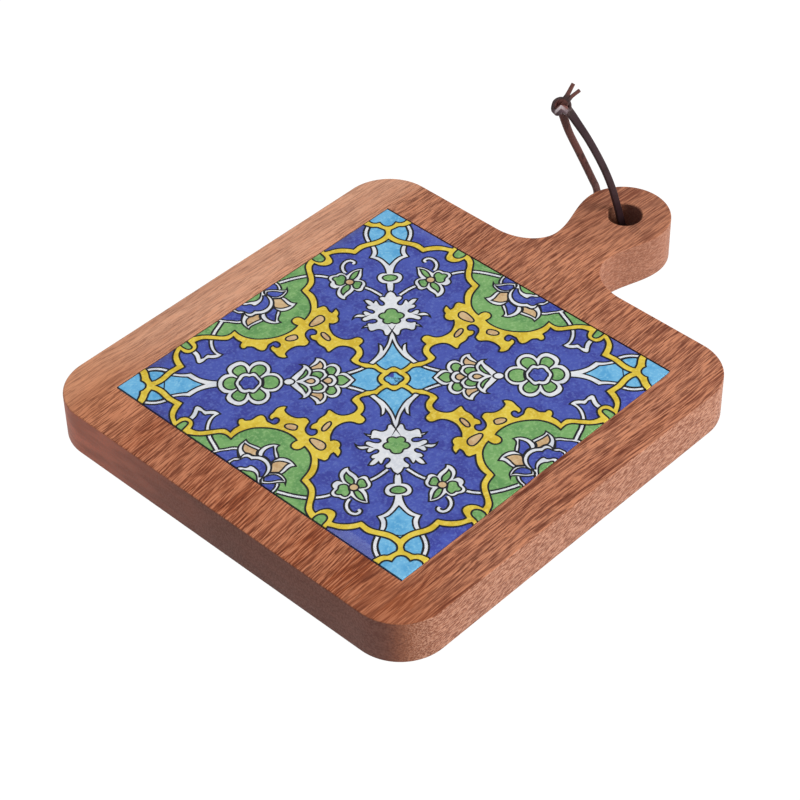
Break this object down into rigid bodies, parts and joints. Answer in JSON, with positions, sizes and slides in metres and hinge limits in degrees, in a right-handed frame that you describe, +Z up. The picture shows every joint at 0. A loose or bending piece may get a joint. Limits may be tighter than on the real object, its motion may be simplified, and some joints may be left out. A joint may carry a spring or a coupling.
{
  "type": "trivet",
  "caption": "Square wooden trivet with a glazed ceramic tile in its top, a short handle with a hanging hole, soft feet and a knotted leather hanging thong.",
  "frame": {"origin": "middle of the footprint of board and handle, on the surface that the feet stand on", "axes": "+X from the square part towards the tip of the handle, +Z up out of the glazed face, +Y to the left of the handle"},
  "size_m": [0.2538, 0.1906, 0.0855],
  "materials": {
    "board_wood": "oiled reddish brown hardwood, satin",
    "glazed_tile": "glossy glaze in cobalt, turquoise, green, yellow and white",
    "adhesive": "cured off-white tile adhesive",
    "foot_rubber": "matt soft rubber",
    "thong_leather": "dark brown leather lace"
  },
  "bodies": {
    "trivet": {"board": "board_wood", "tile": "glazed_tile", "tile_adhesive": "adhesive", "foot_front_left": "foot_rubber", "foot_front_right": "foot_rubber", "foot_handle_left": "foot_rubber", "foot_handle_right": "foot_rubber"},
    "hanging_thong": {"thong_loop": "thong_leather", "thong_knot": "thong_leather", "thong_tails": "thong_leather"}
  },
  "joints": [
    {"name": "thong_swing", "type": "hinge", "parent": "trivet", "child": "hanging_thong", "pos_m": [0.1136, 0.0114, 0.00175], "axis": [0.26, 0.9656, 0], "range_deg": [-7.5, 5]}
  ]
}
